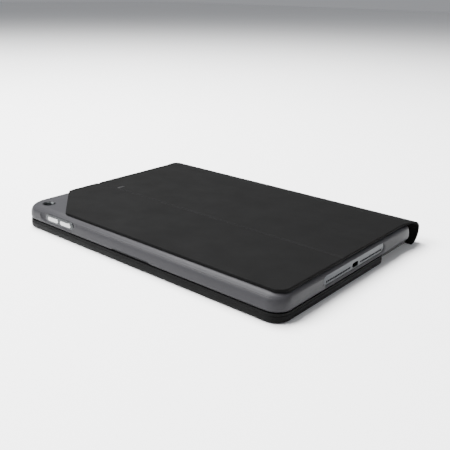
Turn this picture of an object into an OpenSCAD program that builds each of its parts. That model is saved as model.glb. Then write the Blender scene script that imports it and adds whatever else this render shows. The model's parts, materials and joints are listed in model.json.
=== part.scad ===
// Tablet keyboard case: a folio with a thin keyboard base, a moulded tablet tray and a two-panel back
// cover, closed. X runs along the long side, Y from the free edge to the spine, Z up from the table.

/* [Overall] */
// Length of the case along X
case_l = 244.6; // [240:0.2:252]
// Depth of the case from the free edge to the back of the spine
case_d = 181.8; // [178:0.2:188]
// Corner radius of the tray and the base, seen from above
corner_r = 11; // [8:0.5:14]

/* [Keyboard base] */
// Depth of the rigid keyboard base
base_d = 127; // [126:0.2:130]
// Height of the soft skin round the base
skin_h = 4.8; // [4.4:0.1:5]
// Height of the rim round the keys
rim_h = 6.5; // [6.3:0.1:6.6]
// Height of the deck between the keys
deck_z = 5.4; // [5.2:0.1:5.5]
// Thickness of the skin under the base
skin_t = 0.6; // [0.5:0.05:0.7]
// Thickness of the skin on the side walls
skin_side = 0.8; // [0.7:0.05:0.9]

/* [Keys] */
// Pitch of the keys along X
pitch_x = 16.4; // [16:0.1:16.5]
// Pitch of the rows along Y
pitch_y = 16.6; // [16:0.1:16.8]
// Gap between a key and the next one
key_gap = 2; // [1.6:0.1:2.2]
// Height of the key tops
key_top = 6.4; // [6.2:0.1:6.4]
// Travel of a key
key_travel = 1.4; // [1:0.1:1.4]
// Depth of a key in the half-height row
half_key = 6.8; // [6:0.2:7]

/* [Tray] */
// Depth of the tray along Y
tray_d = 173.4; // [173:0.1:174]
// Lowest point of the tray, over the keyboard rim
tray_z = 6.9; // [6.8:0.1:7]
// Height of the tray's back
tray_top = 17.9; // [17.8:0.1:18]
// Wall of the tray along its free edge
tray_wall = 1.2; // [1.1:0.1:1.4]
// Wall of the tray at its two ends
tray_end_wall = 1.9; // [1.6:0.1:2]
// Wall of the tray along the spine, which holds the edge rods
tray_spine_wall = 2.4; // [2.3:0.1:2.5]
// Width of the lip that holds the tablet in
tray_lip = 0.8; // [0.6:0.1:1]

/* [Cover] */
// Top of the cover
cover_top = 20; // [19.9:0.1:20.2]
// Distance from the tray's free edge to the cover
cover_inset = 4.9; // [4.4:0.1:5.2]
// Distance from the tray's ends to the cover
cover_end_inset = 2.4; // [2.0:0.1:2.8]
// Distance from the tray's free edge to the fold
fold_d = 72.3; // [71:0.1:74]
// Gap between the two panels at the fold
fold_gap = 0.6; // [0.5:0.1:0.8]
// Half length of the spine strip and the rear flap
spine_x = 117; // [114:0.5:118]
// Thickness of the spine strip
spine_t = 1.6; // [1.4:0.1:1.8]
// Length of each of the three flat parts of the spine
spine_seg = 8.2; // [8:0.05:8.4]
// Slope of the upper and lower parts of the spine
spine_slope = 38; // [36:0.5:40]

/* [Hidden] */
$fn = 48;
front_y = -case_d / 2;
base_y1 = front_y + base_d;
half_l = case_l / 2;
eps = 0.01;

// Tray and pocket, seen from above
tray_y0 = front_y + 0.2;
tray_y1 = tray_y0 + tray_d;
pocket_x = half_l - tray_end_wall;
pocket_y0 = tray_y0 + tray_wall;
pocket_y1 = tray_y1 - tray_spine_wall;
pocket_r = corner_r - 1.5;
pocket_z0 = tray_z + 0.8;
pocket_z1 = tray_top - 2.4;
lining_t = 0.3;
wall_z = (pocket_z0 + pocket_z1) / 2 + 0.9;

// Cover panels
fold_y = tray_y0 + fold_d;
cover_x = half_l - cover_end_inset;
cover_y0 = tray_y0 + cover_inset;
leg_z = tray_top + 0.3;
board_top = cover_top - 0.5;
spine_bulge = spine_seg * cos(spine_slope);
pivot_y = case_d / 2 - spine_t / 2 - spine_bulge;
low_pivot_z = spine_t / 2;
high_pivot_z = low_pivot_z + spine_seg * (1 + 2 * sin(spine_slope));
leg_y1 = pivot_y - 1.6;
flap_y1 = pivot_y - 0.5;

// Camera corner: the cover is cut back from it
cut_x = -half_l + 45;
cut_y = tray_y0 + 41;
camera_x = -half_l + 14.2;
camera_y = tray_y0 + 12.7;
camera_r = 3.8;

// Volume keys in the free-edge wall
volume_x = -half_l + 42.7;
volume_l = 33;
volume_h = 6;
volume_key_l = 12.4;
volume_key_h = 3.4;
volume_key_x = 7.4;

// End slot and grille, centred on the pocket
slot_y = (pocket_y0 + pocket_y1) / 2;
slot_l = 79;
slot_h = 6.6;
port_l = 9;
port_h = 3.2;
port_drop = 0.9;
hole_r = 0.55;
hole_pitch = 1.9;
hole_count = 15;
hole_start = 7.8;
hole_drop = 1.1;

// Keyboard
key_base_z = deck_z - 0.7;
cap_t = 0.8;
plate_z = 1.4;
plate_t = 0.4;
film_t = 0.3;
well_gap = 0.5;
row_y0 = front_y + 14.7;
row_units = 14;
keys_x0 = -row_units * pitch_x / 2;
function_y = row_y0 + 4.5 * pitch_y + 5.4;
plate_y0 = front_y + 5;
plate_y1 = function_y + 6;
dock_y0 = front_y + 101.2;
dock_d = 9;
rear_y = dock_y0 + dock_d;

// Rows from the free edge to the dock: each is [y, depth, widths in pitches]
bottom_row = [row_y0, pitch_y - key_gap, [1, 1, 1, 1.25, 4.5, 1.25, 1, 1, 1, 1]];
shift_row = [row_y0 + pitch_y, pitch_y - key_gap, [2.25, 1, 1, 1, 1, 1, 1, 1, 1, 1, 1, 1.75]];
home_row = [row_y0 + 2 * pitch_y, pitch_y - key_gap, [1.75, 1, 1, 1, 1, 1, 1, 1, 1, 1, 1, 2.25]];
upper_row = [row_y0 + 3 * pitch_y, pitch_y - key_gap, [1.5, 1, 1, 1, 1, 1, 1, 1, 1, 1, 1, 1, 1.5]];
number_row = [row_y0 + 4 * pitch_y, pitch_y - key_gap, [1, 1, 1, 1, 1, 1, 1, 1, 1, 1, 1, 1, 2]];
top_row = [function_y, half_key, [1, 1, 1, 1, 1, 1, 1, 1, 1, 1, 1, 1, 1, 1]];
rows = [bottom_row, shift_row, home_row, upper_row, number_row, top_row];
space_i = 4;
left_i = 7;
updown_i = 8;
right_i = 9;

// Screws that hold the deck to the base shell
screw_xs = [-112, -58, 0, 58, 112];
screw_y = base_y1 - 5;
front_screw_xs = [-117.9, 117.9];
front_screw_y = front_y + 84;

// Power switch and charging socket in the camera-side end of the base
switch_y = base_y1 - 26;
switch_l = 6;
switch_travel = 2.5;
socket_y = base_y1 - 12;
socket_w = 7.6;
socket_h = 2.6;
light_x = half_l - 14;
light_y = rear_y + 5;

// Base: edge profile as [height, inset], rear corner radius, and heights of the end cuts
base_edge = [[0, 1.7], [0.4, 0.8], [1, 0.25], [2, 0], [skin_h, 0]];
base_rear_r = 5;
socket_z = 1.6;
switch_z = 1.9;
switch_h = 1.6;

// Key span, film height, dock strip, closing magnets, and battery cells as [lowest x, length]
key_colour = "#26272a";
keys_span = row_units * pitch_x + 1;
film_top = plate_z + plate_t + film_t;
dock_l = 2 * half_l - 14;
closure_xs = [-96, -92, 92, 96];
cells = [[-54, 50], [4, 50], [62, 42]];

// Tray: outer profile as [height, side inset, end inset], and the small parts in its walls
tray_edge = [[tray_z, 0.9, 0.7], [7.5, 0.4, 0.3], [8.6, 0.05, 0.05], [9.8, 0, 0], [12, 0.1, 0.05],
    [14, 0.5, 0.3], [15.4, 1.2, 0.6], [16.5, 2.3, 1.1], [17.3, 3.7, 1.8], [tray_top - eps, 5.4, 2.8]];
sleep_y = pocket_y0 + 22;
sleep_l = 13;
sleep_h = 3.6;
jack_y = pocket_y1 - 14;
rod_y = tray_y1 - tray_spine_wall / 2;
rod_z = wall_z;
rod_x = 62;
rod_l = 84;
rod_r = 0.6;
badge_t = 0.12;

// ---- Shared shapes ----

function arc_points(x, y, r, from) =
    [for (a = [0 : 15 : 90]) [x + r * cos(from + a), y + r * sin(from + a)]];

// Outline of a rounded rectangle from (x0, y0) to (x1, y1); front corners r0, rear corners r1
function outline(x0, x1, y0, y1, r0, r1) =
    concat(arc_points(x1 - r1, y1 - r1, r1, 0), arc_points(x0 + r1, y1 - r1, r1, 90),
        arc_points(x0 + r0, y0 + r0, r0, 180), arc_points(x1 - r0, y0 + r0, r0, 270));

module plan(x0, x1, y0, y1, r0, r1) {
    polygon(outline(x0, x1, y0, y1, r0, r1));
}

// Solid through rings [height, inset] of one outline, lowest first
module rings_solid(x, y0, y1, r0, r1, rings) {
    loops = [for (e = rings) outline(-x + e[1], x - e[1], y0 + e[1], y1 - e[1], r0 - e[1], r1 - e[1])];
    n = len(loops[0]);
    last = len(rings) - 1;
    polyhedron(
        points = [for (k = [0 : last]) for (p = loops[k]) [p[0], p[1], rings[k][0]]],
        faces = concat(
            [[for (i = [0 : n - 1]) i]],
            [for (k = [0 : last - 1]) for (i = [0 : n - 1])
                [k * n + i, (k + 1) * n + i, (k + 1) * n + (i + 1) % n, k * n + (i + 1) % n]],
            [[for (i = [n - 1 : -1 : 0]) last * n + i]]));
}

// A slab of that outline from z0 to z1
module slab(x, y0, y1, r0, r1, z0, z1) {
    translate([0, 0, z0]) linear_extrude(z1 - z0) plan(-x, x, y0, y1, r0, r1);
}

// Flat capsule of length l and height h, standing in the XZ plane, t thick along +Y
module capsule_y(l, h, t) {
    rotate([-90, 0, 0]) linear_extrude(t) {
        square([l - h, h], center = true);
        for (s = [-1, 1]) translate([s * (l - h) / 2, 0]) circle(h / 2);
    }
}

// The same capsule in the YZ plane, t thick along +X
module capsule_x(l, h, t) {
    rotate([0, 0, -90]) capsule_y(l, h, t);
}

// ---- Keys ----

function start_of(widths, i) = i == 0 ? 0 : widths[i - 1] + start_of(widths, i - 1);
function key_x(row, i) = keys_x0 + pitch_x * (start_of(row[2], i) + row[2][i] / 2);
function key_w(row, i) = pitch_x * row[2][i] - key_gap;

// One hollow cap, w by d, centred at (x, y)
module cap(x, y, w, d) {
    skirt = 0.9;
    translate([x, y, 0]) difference() {
        translate([0, 0, key_base_z]) linear_extrude(key_top - key_base_z)
            plan(-w / 2, w / 2, -d / 2, d / 2, 1.2, 1.2);
        translate([0, 0, key_base_z - eps]) linear_extrude(key_top - cap_t - key_base_z + eps)
            square([w - 2 * skirt, d - 2 * skirt], center = true);
    }
}

// Caps i0 to i1 of a row
module caps(row, i0, i1) {
    for (i = [i0 : i1]) cap(key_x(row, i), row[0], key_w(row, i), row[1]);
}

module half_cap(side) {
    d = (bottom_row[1] - 0.8) / 2;
    cap(key_x(bottom_row, updown_i), row_y0 + side * (d + 0.8) / 2, key_w(bottom_row, updown_i), d);
}

// Places its children once under each key
module each_key() {
    for (row = rows) for (i = [0 : len(row[2]) - 1]) translate([key_x(row, i), row[0], 0]) children();
}

module function_keys() { color(key_colour) caps(top_row, 0, 13); }
module number_keys() { color(key_colour) caps(number_row, 0, 11); }
module backspace_key() { color(key_colour) caps(number_row, 12, 12); }
module tab_key() { color(key_colour) caps(upper_row, 0, 0); }
module upper_letter_keys() { color(key_colour) caps(upper_row, 1, 12); }
module caps_lock_key() { color(key_colour) caps(home_row, 0, 0); }
module home_letter_keys() { color(key_colour) caps(home_row, 1, 10); }
module return_key() { color(key_colour) caps(home_row, 11, 11); }
module left_shift_key() { color(key_colour) caps(shift_row, 0, 0); }
module lower_letter_keys() { color(key_colour) caps(shift_row, 1, 10); }
module right_shift_key() { color(key_colour) caps(shift_row, 11, 11); }
module space_bar() { color(key_colour) caps(bottom_row, space_i, space_i); }
module left_arrow_key() { color(key_colour) caps(bottom_row, left_i, left_i); }
module right_arrow_key() { color(key_colour) caps(bottom_row, right_i, right_i); }
module up_arrow_key() { color(key_colour) half_cap(1); }
module down_arrow_key() { color(key_colour) half_cap(-1); }
module modifier_keys() {
    color(key_colour) {
        caps(bottom_row, 0, space_i - 1);
        caps(bottom_row, space_i + 1, left_i - 1);
    }
}

module key_plate() {
    color("silver") slab(keys_span / 2, plate_y0, plate_y1, 1, 1, plate_z, plate_z + plate_t);
}

module key_membrane() {
    color("#c9c4b0")
        slab(keys_span / 2, plate_y0, plate_y1, 1, 1, plate_z + plate_t, plate_z + plate_t + film_t);
}

module rubber_domes() {
    color("#dcdcd8") each_key() translate([0, 0, film_top]) cylinder(h = 0.8, r1 = 2.2, r2 = 1.4, $fn = 24);
}

// One link frame lies flat round each dome
module scissor_links() {
    frame_w = 9;
    frame_d = 5.6;
    color("white") each_key() translate([0, 0, film_top]) linear_extrude(0.7) difference() {
        square([frame_w, frame_d], center = true);
        square([frame_w - 2, frame_d - 1], center = true);
    }
}

// ---- Keyboard base ----

module base_skin() {
    color("#17181a") difference() {
        rings_solid(half_l, front_y, base_y1, corner_r, base_rear_r, base_edge);
        slab(half_l - skin_side, front_y + skin_side, base_y1 - skin_side, corner_r - skin_side,
            base_rear_r - skin_side, skin_t, skin_h + 1);
        side_port_cuts();
    }
}

// Openings of the charging socket and the power switch, in the camera-side end
module side_port_cuts() {
    translate([-half_l - 1, socket_y - socket_w / 2 - 0.3, socket_z - 0.3])
        cube([4, socket_w + 0.6, socket_h + 0.6]);
    translate([-half_l - 1, switch_y - (switch_l + switch_travel) / 2 - 0.3, switch_z - 0.3])
        cube([4, switch_l + switch_travel + 0.6, switch_h + 0.6]);
}

module base_shell() {
    wall = 1.2;
    floor_t = 0.8;
    in = skin_side + wall;
    boss_r = 2;
    color("#2b2c2f") difference() {
        union() {
            difference() {
                slab(half_l - skin_side, front_y + skin_side, base_y1 - skin_side, corner_r - skin_side,
                    base_rear_r - skin_side, skin_t, deck_z - 1);
                slab(half_l - in, front_y + in, base_y1 - in,
                     corner_r - in, base_rear_r - in, skin_t + floor_t, deck_z);
            }
            screw_places() cylinder(h = deck_z - 1.01 - skin_t - 0.2, r = boss_r);
        }
        screw_places() translate([0, 0, -0.3]) cylinder(h = deck_z, r = 0.85);
        side_port_cuts();
    }
}

// Places its children at each screw, at the top of the skin under the base
module screw_places() {
    for (x = screw_xs) translate([x, screw_y, skin_t + 0.2]) children();
    for (x = front_screw_xs) translate([x, front_screw_y, skin_t + 0.2]) children();
}

module case_screws() {
    color("gray") screw_places() {
        cylinder(h = deck_z - 1.25, r = 0.8);
    }
}

module deck() {
    color("#3a3b3f") difference() {
        slab(half_l - skin_side, front_y + skin_side, base_y1 - skin_side, corner_r - skin_side,
            base_rear_r - skin_side, deck_z - 1, deck_z);
        for (row = rows) for (i = [0 : len(row[2]) - 1]) translate([key_x(row, i), row[0], deck_z - 1.5])
            linear_extrude(3) square([key_w(row, i) + 2 * well_gap, row[1] + 2 * well_gap], center = true);
        translate([0, dock_y0 + dock_d / 2, deck_z]) cube([dock_l, dock_d, 0.8], center = true);
        translate([light_x, light_y, deck_z - 2]) cylinder(h = 4, r = 0.8);
    }
}

// Raised frame round three sides of the deck, over the edge of the skin
module rim_frame() {
    color("#3a3b3f") difference() {
        slab(half_l - 0.2, front_y + 0.2, base_y1 - 0.2, corner_r - 0.2, base_rear_r - 0.2,
            skin_h, rim_h);
        slab(half_l - 3, front_y + 3, base_y1 + 3, corner_r - 3, 2, skin_h - 1, rim_h + 1);
        slab(half_l - skin_side, front_y + skin_side, base_y1 - skin_side, corner_r - skin_side,
            base_rear_r - skin_side, skin_h - 1, deck_z);
        for (x = closure_xs) translate([x, front_y + 1.9, deck_z - 1]) cylinder(h = 3, r = 0.9);
    }
}

module closure_magnets() {
    color("lightgray") for (x = closure_xs) translate([x, front_y + 1.9, deck_z]) cylinder(h = 1, r = 0.85);
}

module dock_strip() {
    color("#1b1b1d") translate([0, dock_y0 + dock_d / 2, deck_z - 0.1])
        cube([dock_l - 0.2, dock_d - 0.2, 0.6], center = true);
}

module dock_magnets() {
    color("lightgray") for (x = [-84, -60, -36, 36, 60, 84])
        translate([x, dock_y0 + dock_d / 2, deck_z - 1.85])
        cube([16, 4, 1.7], center = true);
}

module controller_board() {
    z = skin_t + 1.2;
    y0 = rear_y + 3;
    color("darkgreen") translate([-108, y0, z]) cube([46, 10, 0.6]);
    color("#222222") {
        translate([-102, y0 + 2, z + 0.6]) cube([6, 6, 0.8]);
        translate([-90, y0 + 3, z + 0.6]) cube([5, 5, 0.8]);
        translate([-76, y0 + 2, z + 0.6]) cube([8, 5, 1]);
    }
}

module battery_cells() {
    color("#b8bcc2") for (cell = cells) translate([cell[0], rear_y + 2.5, skin_t + 1])
        linear_extrude(2.6) plan(0, cell[1], 0, 11, 1, 1);
}

module ribbon_cable() {
    color("#a8763a") translate([-92, plate_y1 + 0.2, plate_z])
        cube([14, rear_y + 2.8 - plate_y1 - 0.2, 0.25]);
}

module charging_socket() {
    color("silver") translate([-half_l + 0.7, socket_y, socket_z]) difference() {
        translate([0, -socket_w / 2, 0]) cube([5.4, socket_w, socket_h]);
        translate([-1, -socket_w / 2 + 0.4, 0.4]) cube([5.6, socket_w - 0.8, socket_h - 0.8]);
    }
}

module switch_body() {
    color("#444444") translate([-half_l + 2.6, switch_y - 5.5, skin_t + 0.9]) cube([3, 11, 2.4]);
}

module power_switch() {
    color("#8a8b90") translate([-half_l + 0.2, switch_y - (switch_l + switch_travel) / 2, switch_z]) {
        cube([2, switch_l, switch_h]);
        for (i = [1 : 3]) translate([-0.2, i * switch_l / 4 - 0.25, 0]) cube([0.4, 0.5, switch_h]);
    }
}

module status_light() {
    color("#d8f0d8") translate([light_x, light_y, deck_z - 1.6]) cylinder(h = 1.6, r = 0.75);
}

module rear_flap_skin() {
    color("#17181a") difference() {
        slab(spine_x, base_y1 + 0.05, flap_y1, 1, 1, 0, spine_t);
        rear_flap_space();
    }
}

module rear_flap_space() {
    slab(spine_x - 2, base_y1 + 2, flap_y1 - 2, 1, 1, 0.5, spine_t - 0.5);
}

module rear_flap_core() { color("dimgray") rear_flap_space(); }

// ---- Tray ----

module tray_outside() {
    hull() for (e = tray_edge) translate([0, 0, e[0]]) linear_extrude(eps)
        plan(-half_l + e[2], half_l - e[2], tray_y0 + e[1], tray_y1 - e[1], corner_r, corner_r);
}

// The tray's outer form between two heights
module tray_between(z0, z1) {
    intersection() {
        tray_outside();
        translate([-case_l, -case_d, z0]) cube([2 * case_l, 2 * case_d, z1 - z0]);
    }
}

module side_cuts() {
    translate([volume_x, tray_y0 - 0.5, wall_z]) capsule_y(volume_l, volume_h, 3);
    translate([volume_x - 4, tray_y0 - 0.5, wall_z]) capsule_y(volume_l + 13, volume_h + 3.4, 0.85);
    translate([half_l - 3, slot_y, wall_z]) capsule_x(slot_l, slot_h, 4);
    translate([-half_l - 1, sleep_y, wall_z]) capsule_x(sleep_l, sleep_h, 4);
    translate([-half_l - 1, jack_y, wall_z]) rotate([0, 90, 0]) cylinder(h = 4, r = 1.95);
}

// Walls round the tablet, with the lip that holds it
module tray_frame() {
    color("#55565b") difference() {
        tray_between(0, pocket_z1);
        slab(pocket_x, pocket_y0, pocket_y1, pocket_r, pocket_r, pocket_z0, pocket_z1 + 1);
        slab(pocket_x - tray_lip, pocket_y0 + tray_lip, pocket_y1 - tray_lip, pocket_r - tray_lip,
            pocket_r - tray_lip, tray_z - 1, pocket_z0 + eps);
        side_cuts();
        finger_notch();
        for (s = [-1, 1]) translate([s * rod_x - rod_l / 2 - 0.2, rod_y, rod_z]) rotate([0, 90, 0])
            cylinder(h = rod_l + 0.4, r = rod_r + 0.08);
    }
}

// Back plate behind the tablet
module tray_back() {
    color("#5a5b60") difference() {
        tray_between(pocket_z1, tray_top);
        translate([camera_x, camera_y, pocket_z1 - 1]) cylinder(h = 5, r = camera_r + 1);
        side_cuts();
        leg_magnet_places() translate([0, 0, tray_top - 0.6]) cylinder(h = 1, r = 5.1);
    }
}

// Shallow scoop in the free edge, where a finger lifts the tray off the keyboard
module finger_notch() {
    x0 = -22;
    x1 = 19;
    translate([0, tray_y0 + 1.4, tray_z - eps]) rotate([90, 0, 0]) linear_extrude(2.4)
        polygon([[x0, -1], [x1, -1], [x1, 0], [x1 - 3, 1.8], [x0 + 3, 1.8], [x0, 0]]);
}

module edge_rods() {
    color("silver") for (s = [-1, 1]) translate([s * rod_x - rod_l / 2, rod_y, rod_z]) rotate([0, 90, 0])
        cylinder(h = rod_l, r = rod_r);
}

module tray_lining() {
    color("#3c3c40") difference() {
        slab(pocket_x - 0.2, pocket_y0 + 0.2, pocket_y1 - 0.2,
             pocket_r, pocket_r, pocket_z1 - lining_t, pocket_z1);
        translate([camera_x, camera_y, pocket_z1 - 1]) cylinder(h = 2, r = camera_r + 1);
    }
}

module camera_ring() {
    color("#a5a7ab") translate([camera_x, camera_y, pocket_z1 - lining_t]) difference() {
        cylinder(h = tray_top - pocket_z1 + lining_t - 0.7, r = camera_r + 1);
        translate([0, 0, -1]) cylinder(h = 5, r = camera_r - 0.4);
        translate([0, 0, 0.7]) cylinder(h = 3, r1 = camera_r - 0.4, r2 = camera_r + 0.9);
    }
}

module volume_bezel() {
    color("#c4c6ca") translate([volume_x, tray_y0 + 0.5, wall_z]) difference() {
        capsule_y(volume_l, volume_h, tray_wall - 0.5);
        for (s = [-1, 1]) translate([s * volume_key_x, -1, 0])
            capsule_y(volume_key_l + 0.4, volume_key_h + 0.4, 3);
    }
}

module volume_key(side) {
    color("#e4e6ea") translate([volume_x + side * volume_key_x, tray_y0 + 0.2, wall_z])
        capsule_y(volume_key_l, volume_key_h, 0.6);
}
module volume_up_key() { volume_key(-1); }
module volume_down_key() { volume_key(1); }

module sleep_key() {
    color("#c4c6ca") translate([-half_l + 0.3, sleep_y, wall_z])
        capsule_x(sleep_l - 0.4, sleep_h - 0.4, 1.1);
}

module end_grille() {
    color("#6b6c70") translate([pocket_x, slot_y, wall_z]) difference() {
        capsule_x(slot_l, slot_h, 0.9);
        translate([-1, 0, -port_drop]) capsule_x(port_l, port_h, 3);
        for (s = [-1, 1]) for (i = [0 : hole_count - 1])
            translate([-1, s * (hole_start + i * hole_pitch), -hole_drop]) rotate([0, 90, 0])
                cylinder(h = 3, r = hole_r, $fn = 20);
    }
}

// Where the leg's magnets meet the steel discs in the tray's back
module leg_magnet_places() {
    for (x = [-88, 88]) translate([x, leg_y1 - 20, 0]) children();
}

module latch_plates() {
    color("silver") leg_magnet_places() translate([0, 0, tray_top - 0.6]) cylinder(h = 0.6, r = 5);
}

// ---- Cover ----

// Outline of the upper panel, cut back at the camera corner, moved in by d
module upper_plan(d) {
    offset(delta = -d) polygon([[cover_x, fold_y - fold_gap / 2], [-cover_x, fold_y - fold_gap / 2],
        [-cover_x, cut_y], [cut_x, cover_y0], [cover_x - 6, cover_y0], [cover_x - 1.8, cover_y0 + 1.8],
        [cover_x, cover_y0 + 6]]);
}

module upper_board() {
    color("dimgray") translate([0, 0, tray_top]) linear_extrude(board_top - tray_top) upper_plan(1.2);
}

module upper_skin() {
    color("#2b2c2e") difference() {
        translate([0, 0, tray_top]) linear_extrude(cover_top - tray_top) upper_plan(0);
        translate([0, 0, tray_top - 1]) linear_extrude(board_top - tray_top + 1) upper_plan(1.2);
    }
}

module badge() {
    color("#101113") translate([-half_l + 26.6, fold_y + 4.6, cover_top + badge_t / 2])
        cube([2.4, 6.4, badge_t], center = true);
}

module leg_slab(d, z0, z1) {
    slab(cover_x - d, fold_y + fold_gap / 2 + d, leg_y1 - d, 0.5, 2, z0, z1);
}

module leg_board() {
    color("dimgray") difference() {
        leg_slab(1.2, leg_z + lining_t, board_top);
        leg_magnet_places() translate([0, 0, leg_z]) cylinder(h = 3, r = 5);
    }
}

module leg_skin() {
    color("#2f3032") difference() {
        leg_slab(0, leg_z + lining_t, cover_top);
        leg_slab(1.2, leg_z, board_top);
    }
}

module leg_lining() { color("#404044") leg_slab(0.6, leg_z, leg_z + lining_t); }

module leg_magnets() {
    color("lightgray") leg_magnet_places() translate([0, 0, leg_z + lining_t])
        cylinder(h = board_top - leg_z - lining_t, r = 5);
}

// One flat part of the spine, from the pivot at (y, z), running towards angle a, with a hinge gap at
// each end
module spine_part(y, z, a) {
    gap = 0.65;
    color("#1d1e20") translate([-spine_x, y, z]) rotate([a, 0, 0])
        translate([0, gap, -spine_t / 2]) cube([2 * spine_x, spine_seg - 2 * gap, spine_t]);
}

module spine_lower() { spine_part(pivot_y, low_pivot_z, spine_slope); }
module spine_middle() {
    spine_part(pivot_y + spine_bulge, low_pivot_z + spine_seg * sin(spine_slope), 90);
}
module spine_upper() { spine_part(pivot_y, high_pivot_z, -spine_slope); }

base_skin();
base_shell();
deck();
rim_frame();
dock_strip();
dock_magnets();
key_plate();
key_membrane();
rubber_domes();
scissor_links();
controller_board();
battery_cells();
ribbon_cable();
charging_socket();
switch_body();
status_light();
case_screws();
closure_magnets();
rear_flap_core();
rear_flap_skin();
function_keys();
number_keys();
upper_letter_keys();
home_letter_keys();
lower_letter_keys();
modifier_keys();
space_bar();
return_key();
backspace_key();
tab_key();
caps_lock_key();
left_shift_key();
right_shift_key();
left_arrow_key();
up_arrow_key();
down_arrow_key();
right_arrow_key();
power_switch();
tray_frame();
tray_back();
tray_lining();
camera_ring();
volume_bezel();
volume_up_key();
volume_down_key();
sleep_key();
end_grille();
latch_plates();
upper_board();
upper_skin();
badge();
edge_rods();
leg_board();
leg_skin();
leg_lining();
leg_magnets();
spine_upper();
spine_middle();
spine_lower();
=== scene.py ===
import json
import math

import bmesh
import bpy
import numpy as np
from mathutils import Matrix, Vector


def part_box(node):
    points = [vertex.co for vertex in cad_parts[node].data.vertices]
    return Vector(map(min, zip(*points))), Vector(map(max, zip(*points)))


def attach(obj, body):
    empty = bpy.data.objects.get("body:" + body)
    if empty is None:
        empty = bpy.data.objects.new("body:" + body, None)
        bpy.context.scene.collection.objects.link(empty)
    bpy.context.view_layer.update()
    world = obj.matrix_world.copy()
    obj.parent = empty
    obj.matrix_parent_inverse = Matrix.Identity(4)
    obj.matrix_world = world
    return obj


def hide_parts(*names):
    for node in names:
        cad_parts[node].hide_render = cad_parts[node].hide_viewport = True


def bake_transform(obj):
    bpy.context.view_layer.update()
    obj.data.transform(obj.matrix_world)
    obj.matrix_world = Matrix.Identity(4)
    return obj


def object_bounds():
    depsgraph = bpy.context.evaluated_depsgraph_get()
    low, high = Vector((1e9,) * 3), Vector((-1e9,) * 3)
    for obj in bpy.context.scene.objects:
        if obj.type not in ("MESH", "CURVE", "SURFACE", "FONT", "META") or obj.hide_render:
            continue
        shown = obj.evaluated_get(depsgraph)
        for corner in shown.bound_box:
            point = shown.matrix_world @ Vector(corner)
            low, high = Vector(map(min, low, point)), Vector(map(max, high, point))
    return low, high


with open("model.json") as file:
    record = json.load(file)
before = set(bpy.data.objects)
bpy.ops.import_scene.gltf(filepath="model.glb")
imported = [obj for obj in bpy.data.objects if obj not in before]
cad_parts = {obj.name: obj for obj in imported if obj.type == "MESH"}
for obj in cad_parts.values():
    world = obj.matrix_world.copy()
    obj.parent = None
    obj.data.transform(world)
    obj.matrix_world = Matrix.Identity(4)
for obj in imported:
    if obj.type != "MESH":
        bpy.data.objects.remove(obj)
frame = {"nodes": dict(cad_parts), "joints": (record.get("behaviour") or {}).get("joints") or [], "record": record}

MM = 0.001
cad_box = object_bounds()

base_lo, base_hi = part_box("base_skin")
flap_lo, flap_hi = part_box("rear_flap_skin")
tray_lo, tray_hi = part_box("tray_frame")
tray_hi.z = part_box("tray_back")[1].z
lining_lo, lining_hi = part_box("tray_lining")
upper_lo, upper_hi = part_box("upper_skin")
leg_lining_lo, leg_lining_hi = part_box("leg_lining")
bezel_lo, bezel_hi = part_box("volume_bezel")
grille_lo, grille_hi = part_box("end_grille")
ring_lo, ring_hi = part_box("camera_ring")
sleep_lo, sleep_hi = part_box("sleep_key")
badge_lo, badge_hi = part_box("badge")
joints = {joint["name"]: joint for joint in frame["joints"]}


def pivot(name):
    """The (y, z) place of a hinge's axis."""
    return Vector(joints[name]["pos_m"]).yz


fold = pivot("cover_fold")
spine_top = pivot("spine_hinge")
spine_bend_top = pivot("spine_upper_bend")
spine_bend_low = pivot("spine_lower_bend")


# ---------------------------------------------------------------- outlines and lofts

def arc(cx, cy, r, start, end, steps):
    """Points of an arc, angles in degrees."""
    return [(cx + r * math.cos(math.radians(a)), cy + r * math.sin(math.radians(a)))
            for a in np.linspace(start, end, steps + 1)]


def rect(x0, x1, y0, y1, r_front, r_rear, steps=10):
    """A rounded rectangle, anticlockwise from the rear corner at +X."""
    return (arc(x1 - r_rear, y1 - r_rear, r_rear, 0, 90, steps)
            + arc(x0 + r_rear, y1 - r_rear, r_rear, 90, 180, steps)
            + arc(x0 + r_front, y0 + r_front, r_front, 180, 270, steps)
            + arc(x1 - r_front, y0 + r_front, r_front, 270, 360, steps))


def stadium(cx, cy, length, height, steps=16):
    """A slot outline with half-round ends, its length along the first axis."""
    r = height / 2
    half = length / 2 - r
    return arc(cx + half, cy, r, -90, 90, steps) + arc(cx - half, cy, r, 90, 270, steps)


def circle(cx, cy, r, steps=48):
    return arc(cx, cy, r, 0, 360, steps)[:-1]


def at_z(outline, z):
    return [(u, v, z) for u, v in outline]


def at_y(outline, y):
    return [(u, y, v) for u, v in outline]


def at_x(outline, x):
    return [(x, u, v) for u, v in outline]


def loft(bm, rings, material=0, cap=True):
    """Joins rings of the same number of points, and closes both ends."""
    loops = [[bm.verts.new(p) for p in ring] for ring in rings]
    count = len(loops[0])
    faces = [bm.faces.new((a[i], a[(i + 1) % count], b[(i + 1) % count], b[i]))
             for a, b in zip(loops, loops[1:]) for i in range(count)]
    if cap:
        faces += [bm.faces.new(loops[0]), bm.faces.new(loops[-1])]
    for face in faces:
        face.material_index = material
    return faces


def revolve(bm, cx, cy, profile, steps=64, material=0):
    """Turns a closed (radius, z) profile round the upright line at (cx, cy)."""
    loft_rings = [[(cx + r * math.cos(a), cy + r * math.sin(a), z) for r, z in profile]
                  for a in np.linspace(0, 2 * math.pi, steps, endpoint=False)]
    loft(bm, loft_rings + loft_rings[:1], material, cap=False)
    bmesh.ops.remove_doubles(bm, verts=bm.verts, dist=1e-7)


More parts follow.
